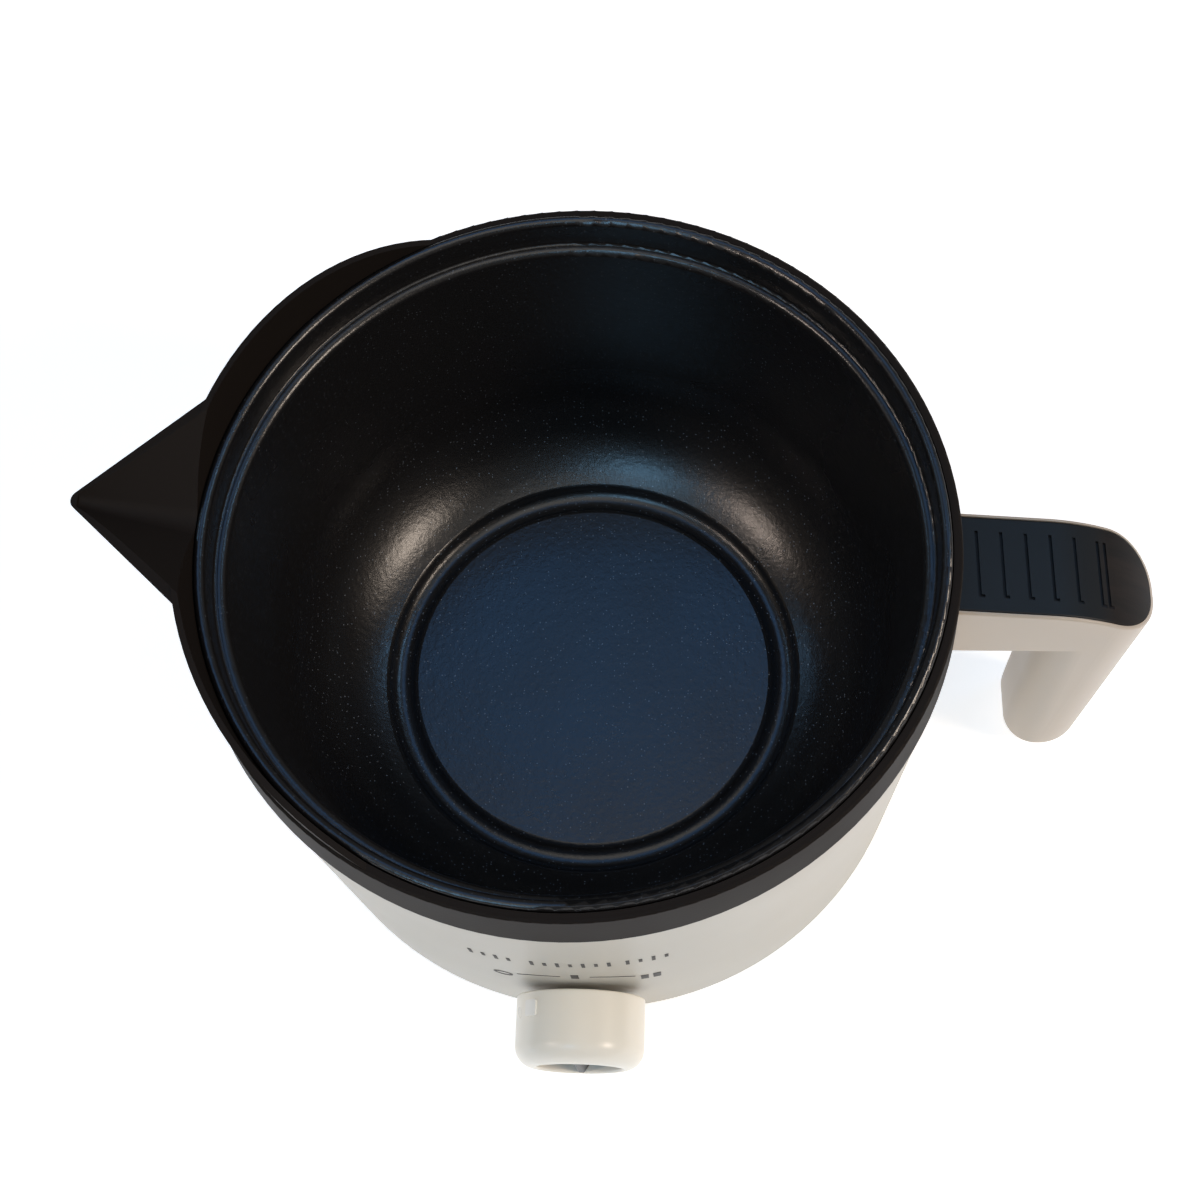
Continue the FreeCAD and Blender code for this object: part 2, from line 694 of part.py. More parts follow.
def on_top_border(edge):
    """True for an edge round the outside of the handle's top surface."""
    ends = [edge.valueAt(edge.FirstParameter), edge.valueAt(edge.LastParameter)]
    on_top = all(abs(handle_top(p.x) - p.z) < 0.02 for p in ends)
    crossing = all(abs(p.x - crown_start_x) < 0.02 for p in ends)
    return on_top and not crossing


def make_handle_bracket():
    z_low = handle_screw_heights()[0] - 4.5
    z_high = handle_screw_heights()[1] + 4.5
    outer = housing_inner - 0.1
    ring = turned([(outer - 1.2, z_low), (outer, z_low), (outer, z_high), (outer - 1.2, z_high)])
    plate = ring.common(pie(-8, 8, far, 0, rim_height))
    for z in handle_screw_heights():
        plate = plate.cut(rod(2.2, 20, vec(housing_inner - 12, 0, z), OUT))
    return plate


def make_handle_screws():
    seat = housing_inner - 1.4
    return Part.makeCompound([
        pan_head_screw(vec(seat, 0, z), OUT, 1.25, 13.0, 3.4, 1.3) for z in handle_screw_heights()])


# ---- knob and switch ----

def make_knob_cap():
    hub_front = knob_front - dish_depth - insert_thickness - 0.1
    web = 1.8
    outer = turned_about_knob([(0, knob_back), (knob_radius, knob_back),
                               (knob_radius, knob_front), (0, knob_front)],
                              [0, 0.6, knob_edge_round, 0])
    hollow = turned_about_knob([(0, knob_back - 1), (knob_radius - knob_wall, knob_back - 1),
                                (knob_radius - knob_wall, hub_front - web), (0, hub_front - web)],
                               [0, 0, 2.0, 0])
    dish = turned_about_knob([(0, hub_front), (dish_radius, hub_front),
                              (dish_radius, knob_front + 1), (0, knob_front + 1)])
    hub = turned_about_knob([(0, knob_back + 2.4), (5.2, knob_back + 2.4),
                             (5.2, hub_front - web + 0.5), (0, hub_front - web + 0.5)])
    body = outer.cut(hollow).cut(dish)
    body = fuse_all([body, hub])
    edge = [e for e in body.Edges if isinstance(e.Curve, Part.Circle)
            and abs(e.Curve.Radius - dish_radius) < 0.01
            and abs(e.Curve.Center.y + knob_front) < 0.01]
    body = body.makeFillet(0.8, edge)
    bore = make_shaft_blank(0.1, knob_back - 1, hub_front - 0.9)
    return body.cut(bore)


def make_shaft_blank(clearance, start, end):
    """D-section shaft about the knob's axis, from start to end in front of the bowl's axis."""
    radius = shaft_radius + clearance
    blank = rod(radius, end - start, vec(0, -start, knob_height), FRONT)
    flat_z = knob_height + shaft_radius * 0.55 + clearance
    flat = block(-10, 10, -end - 1, -start + 1, flat_z, flat_z + 10)
    return blank.cut(flat)


def make_knob_insert():
    floor_d = knob_front - dish_depth - insert_thickness
    top_d = floor_d + insert_thickness
    plate = turned_about_knob([(0, floor_d), (dish_radius - 0.15, floor_d),
                               (dish_radius - 0.15, top_d), (0, top_d)], [0, 0, 0.3, 0])
    crest_d = knob_front - 0.2
    half = dish_radius - 0.7
    corners = [vec(-ridge_base / 2, -top_d + 0.4, knob_height - half),
               vec(ridge_base / 2, -top_d + 0.4, knob_height - half),
               vec(ridge_crest / 2, -crest_d, knob_height - half),
               vec(-ridge_crest / 2, -crest_d, knob_height - half)]
    ridge = Part.Face(rounded_wire(corners, [0, 0, 0.5, 0.5])).extrude(vec(0, 0, 2 * half))
    keep = turned_about_knob([(0, floor_d), (dish_radius - 0.4, floor_d),
                              (dish_radius - 0.4, crest_d + 1), (0, crest_d + 1)])
    return fuse_all([plate, ridge.common(keep)])


def make_knob_marker():
    tile = block(-2.1, 2.1, -knob_back - 6.6, -knob_back - 2.4,
                 knob_height + knob_radius - 1.0, knob_height + knob_radius + 0.5)
    tile = tile.makeFillet(0.6, [e for e in tile.Edges if abs(e.Length - 1.5) < 0.01])
    skin = turned_about_knob([(knob_radius + 0.02, knob_back), (knob_radius + 0.45, knob_back),
                              (knob_radius + 0.45, knob_front), (knob_radius + 0.02, knob_front)])
    tile = tile.common(skin)
    tile.rotate(vec(0, 0, knob_height), BACK, off_angle)
    return tile


def make_switch_shaft():
    hub_front = knob_front - dish_depth - insert_thickness - 0.1
    start = switch_front - switch_depth + 2.0
    flat_start = knob_back + 2.0
    round_part = rod(shaft_radius, flat_start - start, vec(0, -start, knob_height), FRONT)
    flat_part = make_shaft_blank(0, flat_start - 0.01, hub_front - 1.2)
    return fuse_all([round_part, flat_part])


def make_switch_body():
    half = switch_size / 2
    low = knob_height - half
    high = knob_height + switch_top_above_axis
    case = block(-half, half, -switch_front, -switch_front + switch_depth, low, high)
    case = case.makeChamfer(0.8, [e for e in case.Edges if abs(e.Length - switch_depth) < 0.01])
    collar = rod(bushing_radius, 7.2, vec(0, -switch_front + 0.5, knob_height), FRONT)
    body = fuse_all([case, collar])
    bore = rod(shaft_radius + shaft_fit, switch_depth + 10,
               vec(0, -switch_front + switch_depth - 1.9, knob_height), FRONT)
    return body.cut(bore)


def make_switch_nut():
    start = housing_radius + 0.05
    nut = Part.Face(Part.makePolygon([
        vec(6.6 * math.cos(math.radians(60 * i)), -start,
            knob_height + 6.6 * math.sin(math.radians(60 * i))) for i in range(7)]))
    nut = nut.extrude(vec(0, -2.2, 0))
    return nut.cut(rod(bushing_radius + 0.03, 8, vec(0, -start + 2, knob_height), FRONT))


def make_switch_tabs():
    tabs = []
    y = -switch_front + switch_depth
    for x in (-7.5, 0, 7.5):
        z = knob_height - switch_size / 2 + 5.0
        tab = block(x - 2.4, x + 2.4, y + 0.02, y + 0.82, z - 8.6, z + 3.0)
        tab = tab.cut(rod(0.8, 4, vec(x, y - 1, z - 6.2), BACK))
        tabs.append(tab)
    return Part.makeCompound(tabs)


# ---- printed marks ----

def on_housing(shape):
    """Trim a shape that crosses the front wall down to a thin printed skin."""
    inner = housing_radius + 0.01
    top = collar_bottom_z - 2
    skin = turned([(inner, 10), (inner + 0.08, 10), (inner + 0.08, top), (inner, top)])
    return shape.common(skin)


def plain_bar(x, z, width, height):
    return on_housing(block(x - width / 2, x + width / 2, -far, 15 - housing_radius,
                            z - height / 2, z + height / 2))


def ring_arc(radius, width, start, end):
    """Part of a ring around the knob's axis, between two angles from the top."""
    centre = vec(0, 15 - housing_radius, knob_height)
    ring = rod(radius + width / 2, 30, centre, FRONT).cut(rod(radius - width / 2, 30, centre, FRONT))
    corners = [centre]
    steps = 6
    for i in range(steps + 1):
        a = math.radians(start + (end - start) * i / steps)
        corners.append(centre + vec(60 * math.sin(a), 0, 60 * math.cos(a)))
    sector = Part.Face(Part.makePolygon(corners + [centre])).extrude(vec(0, -30, 0))
    return on_housing(ring.common(sector))


def make_dial_marks():
    label_radius = knob_radius + 10.0
    reach = label_radius * math.sin(math.radians(45))
    marks = [ring_arc(label_radius, 0.35, -34, -8), ring_arc(label_radius, 0.35, 8, 34)]
    centre = vec(-reach, 15 - housing_radius, knob_height + reach)
    circle = rod(2.6, 30, centre, FRONT).cut(rod(1.9, 30, centre, FRONT))
    marks.append(on_housing(circle))
    marks.append(plain_bar(0, knob_height + label_radius, 2.0, 5.4))
    for x in (reach - 1.6, reach + 1.6):
        marks.append(plain_bar(x, knob_height + reach, 2.0, 5.4))
    return Part.makeCompound(marks)


def make_front_ticks():
    """Plain row of ticks above the dial."""
    row_z = knob_height + 45.0
    ticks = []
    for start, count in ((-25.0, 4), (-9.6, 7), (14.2, 4)):
        for i in range(count):
            height = 5.2 if i % 2 == 0 else 3.6
            ticks.append(plain_bar(start + i * 3.2, row_z, 0.9, height))
    return Part.makeCompound(ticks)


# ---- heater ----

def make_heat_plate():
    plate = rod(plate_radius, plate_thickness - 0.05, vec(0, 0, plate_under_z))
    hole = rod(stud_radius + 0.4, 20, vec(stud_circle, 0, plate_under_z - 5))
    return plate.cut(Part.makeCompound(around(hole, stud_angles())))


def element_end_angle():
    return 22.0


def make_heating_element():
    path_z = element_z
    a0 = math.radians(-90 + element_end_angle())
    a1 = math.radians(270 - element_end_angle())
    p0 = vec(element_radius * math.cos(a0), element_radius * math.sin(a0), path_z)
    p1 = vec(element_radius * math.cos(a1), element_radius * math.sin(a1), path_z)
    pm = vec(0, element_radius, path_z)
    arc = Part.Arc(p0, pm, p1).toShape()
    section = Part.Wire([Part.makeCircle(element_tube, p0, vec(-math.sin(a0), math.cos(a0), 0))])
    ring = Part.Wire([arc]).makePipeShell([section], True, True)
    tails = []
    for p, a, sign in ((p0, a0, -1), (p1, a1, 1)):
        direction = vec(-math.sin(a) * sign, math.cos(a) * sign, 0)
        outward = vec(math.cos(a), math.sin(a), 0)
        tails.append(rod(element_tube, 3.0, p, direction))
        tails.append(Part.makeSphere(element_tube, p + direction * 3.0))
        tails.append(rod(element_tube, 16.0, p + direction * 3.0, outward))
    return fuse_all([ring] + tails)


def pin_ends():
    """Where the two cold ends leave the heating tube, and the way they point."""
    ends = []
    for a, sign in ((math.radians(-90 + element_end_angle()), -1),
                    (math.radians(270 - element_end_angle()), 1)):
        p = vec(element_radius * math.cos(a), element_radius * math.sin(a), element_z)
        direction = vec(-math.sin(a) * sign, math.cos(a) * sign, 0)
        outward = vec(math.cos(a), math.sin(a), 0)
        ends.append((p + direction * 3.0 + outward * 16.0, outward))
    return ends


def make_element_pins():
    pins = []
    for end, outward in pin_ends():
        sleeve = rod(element_tube - 0.6, 3.0, end + outward * 0.02, outward)
        pin = rod(1.2, 8.0, end + outward * 0.5, outward)
        pins.append(sleeve.fuse(pin).removeSplitter())
    return Part.makeCompound(pins)


def stud_angles():
    return (30, 150, 270)


def make_pot_studs():
    stud = rod(stud_radius, bowl_under_z - 9.0 - 0.05, vec(stud_circle, 0, 9.0))
    return Part.makeCompound(around(stud, stud_angles()))


def make_stud_nuts():
    nut = Part.Face(Part.makePolygon([
        vec(4.0 * math.cos(math.radians(60 * i)), 4.0 * math.sin(math.radians(60 * i)),
            shield_height - 0.05 - 3.0) for i in range(7)])).extrude(vec(0, 0, 3.0))
    nut = nut.cut(rod(stud_radius + 0.03, 20, ORIGIN))
    nut.translate(vec(stud_circle, 0, 0))
    return Part.makeCompound(around(nut, stud_angles()))


def make_heat_shield():
    rim_up = 5.0
    outline = [(0, shield_height), (housing_inner - 1.0, shield_height),
               (housing_inner - 1.0, shield_top_z), (0, shield_top_z)]
    disc = turned(outline)
    lip = turned([(70, shield_top_z - 0.1), (70.8, shield_top_z - 0.1),
                  (70.8, shield_top_z + rim_up), (70, shield_top_z + rim_up)])
    body = fuse_all([disc, lip])
    holes = around(rod(stud_radius + 0.3, 20, vec(stud_circle, 0, 5)), stud_angles())
    notch = block(-27, 27, -housing_radius, -60, 5, 40)
    rear = block(-9, 9, 58, housing_radius, 5, 40)
    boss_room = around(rod(boss_radius + 0.6, 20, vec(boss_circle, 0, 5)), boss_angles())
    wire_holes = [rod(3.0, 20, vec(x, y, 5)) for x, y in ((-4, 30), (11.5, 48))]
    return body.cut(Part.makeCompound(holes + [notch, rear] + boss_room + wire_holes))


def make_thermal_cutoff():
    cap = rod(8.0, 2.4, vec(0, 0, plate_under_z - 2.45))
    case = rod(7.0, 4.0, vec(0, 0, plate_under_z - 6.4))
    flange = rod(8.8, 0.8, vec(0, 0, plate_under_z - 3.0))
    return fuse_all([cap, case, flange])


def make_cutoff_tabs():
    top = plate_under_z - 3.4
    tabs = []
    for side in (-1, 1):
        x0, x1 = sorted((side * 7.05, side * 14.0))
        tab = block(x0, x1, -2.4, 2.4, top - 1.6, top - 0.8)
        tabs.append(tab.cut(rod(0.8, 10, vec(side * 11.5, 0, top - 5))))
    return Part.makeCompound(tabs)


def make_cutoff_bracket():
    top = plate_under_z - 6.45
    strap = block(-4, 4, -20, 20, top - 0.8, top)
    legs = []
    for side in (-1, 1):
        y0, y1 = sorted((side * 19.2, side * 20.0))
        legs.append(block(-4, 4, y0, y1, top - 0.8, plate_under_z - 0.1))
        y0, y1 = sorted((side * 19.2, side * 26.0))
        legs.append(block(-4, 4, y0, y1, plate_under_z - 0.9, plate_under_z - 0.1))
    body = fuse_all([strap] + legs)
    holes = [rod(1.4, 10, vec(0, side * 23, plate_under_z - 6)) for side in (-1, 1)]
    return body.cut(Part.makeCompound(holes))


def make_cutoff_screws():
    screws = []
    for side in (-1, 1):
        seat = vec(0, side * 23, plate_under_z - 0.95)
        screws.append(pan_head_screw(seat, UP, 1.2, 0.9, 2.3, 1.1))
    return Part.makeCompound(screws)


def make_terminal_block():
    low = cover_top_z + 0.1
    body = block(-13, 13, 60, 70, low, low + 7.0)
    body = body.makeChamfer(0.6, [e for e in body.Edges if abs(e.Length - 7.0) < 0.01])
    bores = [rod(1.7, 20, vec(x, 55, low + 3.0), BACK) for x in terminal_places()]
    wells = [rod(1.9, 4.1, vec(x, 65, low + 3.0)) for x in terminal_places()]
    return body.cut(Part.makeCompound(bores + wells))


def terminal_places():
    return (-8.0, 0.0, 8.0)


def make_terminal_screws():
    low = cover_top_z + 0.1
    return Part.makeCompound([rod(1.7, 2.6, vec(x, 65, low + 4.2)) for x in terminal_places()])


def make_thermal_fuse():
    fuse = rod(1.9, 11.0, vec(-30, -6, 10.6), BACK)
    ends = [rod(0.6, 2.0, vec(-30, -8, 10.6), BACK), rod(0.6, 2.0, vec(-30, 5, 10.6), BACK)]
    return fuse_all([fuse] + ends)


def make_fuse_sleeve():
    sleeve = rod(2.6, 13.0, vec(-30, -7, 10.6), BACK)
    return sleeve.cut(rod(2.0, 15.0, vec(-30, -8, 10.6), BACK))


# ---- wiring ----

def make_live_lead():
    wire_z = 10.6
    tab_z = knob_height - switch_size / 2 - 4.6
    tab_y = -switch_front + switch_depth + 2.2
    rear = wire_run([vec(-8, 59.6, cover_top_z + 3.1), vec(-8, 50, wire_z), vec(-30, 34, wire_z),
                     vec(-30, 7.2, wire_z)], 1.1, 5.0)
    front = wire_run([vec(-30, -8.2, wire_z), vec(-30, -44, wire_z), vec(-9, -62, wire_z),
                      vec(-7.5, tab_y + 2.2, wire_z), vec(-7.5, tab_y, tab_z)], 1.1, 2.2)
    return Part.makeCompound([rear, front])


def make_switched_lead():
    (end, outward) = pin_ends()[0]
    tip = end + outward * 8.7
    tab_z = knob_height - switch_size / 2 - 4.6
    tab_y = -switch_front + switch_depth + 2.2
    return wire_run([vec(7.5, tab_y, tab_z), vec(7.5, tab_y + 2.7, tab_z - 6.0),
                     vec(15, -70, 13.5), tip + outward * 5.0, tip], 1.1, 1.8)


def make_neutral_lead():
    (end, outward) = pin_ends()[1]
    tip = end + outward * 8.7
    high = 17.0
    low = cover_top_z + 3.1
    tab_z = plate_under_z - 5.1
    first = wire_run([tip, tip + outward * 4.6, vec(-20, -63, high), vec(-13, -24, high),
                      vec(-11.5, -1, high), vec(-11.5, -1, tab_z)], 1.1, 1.6)
    second = wire_run([vec(11.5, 1, tab_z), vec(11.5, 1, high), vec(11.5, 46, high),
                       vec(11.5, 50, low), vec(8, 54, low), vec(8, 59.6, low)], 1.1, 1.6)
    return Part.makeCompound([first, second])


def make_earth_lead():
    wire_z = 10.6
    return wire_run([vec(0, 59.6, cover_top_z + 3.1), vec(0, 48, wire_z), vec(-4, 30, wire_z),
                     vec(-4, 30, plate_under_z - 1.4)], 1.1, 2.4)


def make_earth_tab():
    z = plate_under_z
    ring = rod(3.2, 0.8, vec(-4, 30, z - 0.85)).cut(rod(1.2, 2, vec(-4, 30, z - 1.4)))
    return ring


# ---- rear cord entry ----

def make_cord_gland():
    centre = vec(0, 0, gland_height)
    body = rod(gland_body, 9.6, centre + vec(0, housing_inner - 3.4, 0), BACK)
    flange = rod(9.0, 5.0, centre + vec(0, housing_radius - 1.7, 0), BACK)
    barrel = turned([(0, 0), (housing_radius + 0.05, 0), (housing_radius + 0.05, 60), (0, 60)])
    flange = flange.cut(barrel)
    inner_face = math.sqrt(housing_inner ** 2 - 7.2 ** 2) - 0.1
    barb = rod(7.2, 2.4, centre + vec(0, inner_face - 2.4, 0), BACK)
    gland = fuse_all([body, flange, barb])
    edge = [e for e in gland.Edges if isinstance(e.Curve, Part.Circle)
            and abs(e.Curve.Radius - 9.0) < 0.01 and e.Curve.Center.y > housing_radius + 2]
    gland = gland.makeFillet(1.2, edge)
    return gland.cut(rod(gland_bore, 40, centre + vec(0, housing_inner - 17, 0), BACK))


MAKERS = {
    "inner_pot": make_inner_pot,
    "rim_gasket": make_rim_gasket,
    "spout_collar": make_spout_collar,
    "outer_housing": make_outer_housing,
    "base_cover": make_base_cover,
    "rubber_feet": make_rubber_feet,
    "base_screws": make_base_screws,
    "handle_shell": make_handle_shell,
    "handle_grip": make_handle_grip,
    "handle_bracket": make_handle_bracket,
    "handle_screws": make_handle_screws,
    "knob_cap": make_knob_cap,
    "knob_insert": make_knob_insert,
    "knob_marker": make_knob_marker,
    "switch_shaft": make_switch_shaft,
    "switch_body": make_switch_body,
    "switch_nut": make_switch_nut,
    "switch_tabs": make_switch_tabs,
    "dial_marks": make_dial_marks,
    "front_ticks": make_front_ticks,
    "heat_plate": make_heat_plate,
    "heating_element": make_heating_element,
    "element_pins": make_element_pins,
    "pot_studs": make_pot_studs,
    "stud_nuts": make_stud_nuts,
    "heat_shield": make_heat_shield,
    "thermal_cutoff": make_thermal_cutoff,
    "cutoff_tabs": make_cutoff_tabs,
    "cutoff_bracket": make_cutoff_bracket,
    "cutoff_screws": make_cutoff_screws,
    "terminal_block": make_terminal_block,
    "terminal_screws": make_terminal_screws,
    "thermal_fuse": make_thermal_fuse,
    "fuse_sleeve": make_fuse_sleeve,
    "live_lead": make_live_lead,
    "switched_lead": make_switched_lead,
    "neutral_lead": make_neutral_lead,
    "earth_lead": make_earth_lead,
    "earth_tab": make_earth_tab,
    "cord_gland": make_cord_gland,
}


def main():
    os.makedirs("parts", exist_ok=True)
    for name, maker in MAKERS.items():
        shape = maker()
        shape.exportStep("parts/" + name + ".step")
        print(name, len(shape.Solids), round(shape.Volume, 1), shape.isValid())


main()
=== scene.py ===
import bpy
import json
import math
from mathutils import Matrix, Vector

# Candle melting pot. Metres, in the row frame: +X to the handle, -Y to the knob, +Z up.

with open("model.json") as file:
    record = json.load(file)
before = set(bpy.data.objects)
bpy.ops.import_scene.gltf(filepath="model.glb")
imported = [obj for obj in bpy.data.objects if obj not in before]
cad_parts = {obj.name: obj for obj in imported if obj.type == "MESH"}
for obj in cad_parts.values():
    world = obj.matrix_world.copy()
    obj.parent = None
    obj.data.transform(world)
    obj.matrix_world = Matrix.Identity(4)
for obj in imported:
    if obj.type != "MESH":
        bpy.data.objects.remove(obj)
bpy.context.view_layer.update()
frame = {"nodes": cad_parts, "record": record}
nodes = frame["nodes"]

RIM_HEIGHT = 0.131
STAGE_HALF_SIDE = 3.0
STAGE_DROP = 0.0005
LIGHT_AIM_HEIGHT = 0.06

# Heights between which the coating's flecks thin out, and where the grip's rougher outer end
# begins in X, with a brownish reflection painted into its colour.
FLOOR_FLECK_TOP = 0.040
WALL_FLECK_START = 0.060
GRIP_PATCH_START = 0.130
GRIP_PATCH_FULL = 0.134

# ---- camera: an orbit round the centre of the rim, then a small turn of the camera itself ----
VIEW_AZIMUTH = 10.6
VIEW_ELEVATION = 64.87
VIEW_DISTANCE = 0.3776
VIEW_ROLL = -9.43
VIEW_PAN = -0.70
VIEW_TILT = 2.66
VIEW_LENS = 47.24


def add_camera():
    azimuth = math.radians(VIEW_AZIMUTH)
    elevation = math.radians(VIEW_ELEVATION)
    target = Vector((0, 0, RIM_HEIGHT))
    back = Vector((0, -math.cos(elevation), math.sin(elevation)))
    turn = Matrix.Rotation(azimuth, 3, "Z")
    basis = Matrix.Rotation(math.pi / 2 - elevation, 3, "X")
    pan = Matrix.Rotation(math.radians(VIEW_PAN), 3, "Y")
    tilt = Matrix.Rotation(math.radians(-VIEW_TILT), 3, "X")
    roll = Matrix.Rotation(math.radians(VIEW_ROLL), 3, "Z")
    spin = turn @ basis @ pan @ tilt @ roll
    data = bpy.data.cameras.new("camera")
    data.lens = VIEW_LENS
    data.sensor_width = 36.0
    data.clip_start = 0.01
    camera = bpy.data.objects.new("camera", data)
    camera.matrix_world = Matrix.Translation(target + turn @ back * VIEW_DISTANCE) @ spin.to_4x4()
    bpy.context.scene.collection.objects.link(camera)
    bpy.context.scene.camera = camera


# ---- lights ----

def soft_light(name, azimuth, elevation, distance, size, power, colour):
    """Area light that points at the bowl from a direction in degrees."""
    a = math.radians(azimuth)
    e = math.radians(elevation)
    way = Vector((math.cos(a) * math.cos(e), math.sin(a) * math.cos(e), math.sin(e)))
    data = bpy.data.lights.new(name, "AREA")
    data.shape = "RECTANGLE"
    data.size = size[0]
    data.size_y = size[1]
    data.energy = power
    data.color = colour
    light = bpy.data.objects.new(name, data)
    place = Vector((0, 0, LIGHT_AIM_HEIGHT)) + way * distance
    facing = way.to_track_quat("Z", "Y").to_matrix().to_4x4()
    light.matrix_world = Matrix.Translation(place) @ facing
    bpy.context.scene.collection.objects.link(light)


def add_world():
    world = bpy.data.worlds.new("studio")
    world.use_nodes = True
    back = world.node_tree.nodes["Background"]
    back.inputs["Color"].default_value = (1.0, 0.985, 0.96, 1)
    back.inputs["Strength"].default_value = 0.12
    bpy.context.scene.world = world


def add_floor():
    mesh = bpy.data.meshes.new("floor")
    s = STAGE_HALF_SIDE
    mesh.from_pydata([(-s, -s, 0), (s, -s, 0), (s, s, 0), (-s, s, 0)], [], [(0, 1, 2, 3)])
    floor = bpy.data.objects.new("floor", mesh)
    bpy.context.scene.collection.objects.link(floor)
    mat = bpy.data.materials.new("floor")
    mat.use_nodes = True
    shader = mat.node_tree.nodes["Principled BSDF"]
    shader.inputs["Base Color"].default_value = (0.95, 0.95, 0.95, 1)
    shader.inputs["Roughness"].default_value = 0.9
    shader.inputs["Specular IOR Level"].default_value = 0.1
    shader.inputs["Emission Color"].default_value = (1.0, 1.0, 1.0, 1)
    shader.inputs["Emission Strength"].default_value = 0.6
    mesh.materials.append(mat)
    floor.location.z = -STAGE_DROP


# ---- material building blocks ----

class Shade:
    """A Principled material with a few short ways to add procedural detail."""

    def __init__(self, name, colour, roughness, **sockets):
        self.mat = bpy.data.materials.new(name)
        self.mat.use_nodes = True
        self.tree = self.mat.node_tree
        self.bsdf = self.tree.nodes["Principled BSDF"]
        self.bsdf.inputs["Base Color"].default_value = (*colour, 1)
        self.bsdf.inputs["Roughness"].default_value = roughness
        for key, value in sockets.items():
            self.bsdf.inputs[key.replace("_", " ")].default_value = value
        self.place = self.node("ShaderNodeTexCoord").outputs["Object"]
        self.normal = None

    def node(self, kind, **props):
        made = self.tree.nodes.new(kind)
        for key, value in props.items():
            setattr(made, key, value)
        return made

    def link(self, a, b):
        self.tree.links.new(a, b)

    def noise(self, scale, detail=2.0, rough=0.5, stretch=None):
        made = self.node("ShaderNodeTexNoise")
        made.inputs["Scale"].default_value = scale
        made.inputs["Detail"].default_value = detail
        made.inputs["Roughness"].default_value = rough
        place = self.place
        if stretch:
            mapping = self.node("ShaderNodeMapping")
            mapping.inputs["Scale"].default_value = stretch
            self.link(place, mapping.inputs["Vector"])
            place = mapping.outputs["Vector"]
        self.link(place, made.inputs["Vector"])
        return made.outputs["Fac"]

    def cells(self, scale):
        made = self.node("ShaderNodeTexVoronoi")
        made.inputs["Scale"].default_value = scale
        self.link(self.place, made.inputs["Vector"])
        return made

    def spread(self, value, low, high, to_low, to_high):
        made = self.node("ShaderNodeMapRange")
        for key, number in (("From Min", low), ("From Max", high), ("To Min", to_low),
                            ("To Max", to_high)):
            made.inputs[key].default_value = number
        self.link(value, made.inputs["Value"])
        return made.outputs["Result"]

    def math(self, how, a, b):
        made = self.node("ShaderNodeMath", operation=how)
        for socket, value in zip(made.inputs, (a, b)):
            if isinstance(value, (int, float)):
                socket.default_value = value
            else:
                self.link(value, socket)
        return made.outputs[0]

    def mix(self, share, a, b):
        made = self.node("ShaderNodeMix", data_type="RGBA")
        if isinstance(share, (int, float)):
            made.inputs["Factor"].default_value = share
        else:
            self.link(share, made.inputs["Factor"])
        for socket, value in ((made.inputs[6], a), (made.inputs[7], b)):
            if isinstance(value, tuple):
                socket.default_value = (*value, 1)
            else:
                self.link(value, socket)
        return made.outputs[2]

    def set(self, name, value):
        self.link(value, self.bsdf.inputs[name])

    def bump(self, height, distance, strength=1.0):
        made = self.node("ShaderNodeBump")
        made.inputs["Distance"].default_value = distance
        made.inputs["Strength"].default_value = strength
        self.link(height, made.inputs["Height"])
        if self.normal:
            self.link(self.normal, made.inputs["Normal"])
        self.normal = made.outputs["Normal"]
        self.link(self.normal, self.bsdf.inputs["Normal"])


def tint(colour, factor):
    return tuple(min(1.0, c * factor) for c in colour)


def moulded(name, colour, roughness, grain=1500.0, depth=0.00002, wander=0.05, **sockets):
    """Moulded plastic: faint mottling, a fine spark texture and uneven gloss."""
    s = Shade(name, colour, roughness, **sockets)
    broad = s.noise(18.0, 3.0)
    fine = s.noise(grain, 2.0, 0.6)
    s.set("Base Color", s.mix(s.spread(broad, 0.3, 0.7, 0, 1), tint(colour, 1 - wander),
                              tint(colour, 1 + wander)))
    s.set("Roughness", s.spread(broad, 0.3, 0.7, roughness - 0.04, roughness + 0.05))
    s.bump(fine, depth, 0.6)
    s.bump(s.noise(60.0, 2.0), 0.00006, 0.3)
    return s.mat


def pot_coating():
    """Sprayed non-stick coating: near black, satin, grainy, with tiny light flecks."""
    dark = (0.0082, 0.0074, 0.0074)
    s = Shade("pot_coating", dark, 0.36, Specular_IOR_Level=0.72)
    flecks = s.cells(1050.0)
    near = s.spread(flecks.outputs["Distance"], 0.12, 0.26, 1.0, 0.0)
    split = s.node("ShaderNodeSeparateColor")
    s.link(flecks.outputs["Color"], split.inputs["Color"])
    chosen = s.spread(split.outputs["Red"], 0.66, 0.84, 0.0, 1.0)
    fleck = s.math("MULTIPLY", near, chosen)
    where = s.node("ShaderNodeSeparateXYZ")
    s.link(s.place, where.inputs["Vector"])
    floor_share = s.spread(where.outputs["Z"], FLOOR_FLECK_TOP, WALL_FLECK_START, 1.0, 0.32)
    fleck = s.math("MULTIPLY", fleck, floor_share)
    dust = s.noise(2600.0, 2.0, 0.7)
    broad = s.noise(24.0, 3.0)
    base = s.mix(s.spread(dust, 0.55, 0.75, 0, 1), dark, tint(dark, 1.9))
    s.set("Base Color", s.mix(s.math("MULTIPLY", fleck, 0.7), base, (0.26, 0.29, 0.33)))
    s.set("Roughness", s.spread(broad, 0.3, 0.7, 0.25, 0.32))
    s.bump(s.noise(520.0, 3.0, 0.6), 0.00012, 0.75)
    s.bump(dust, 0.00003, 0.6)
    return s.mat


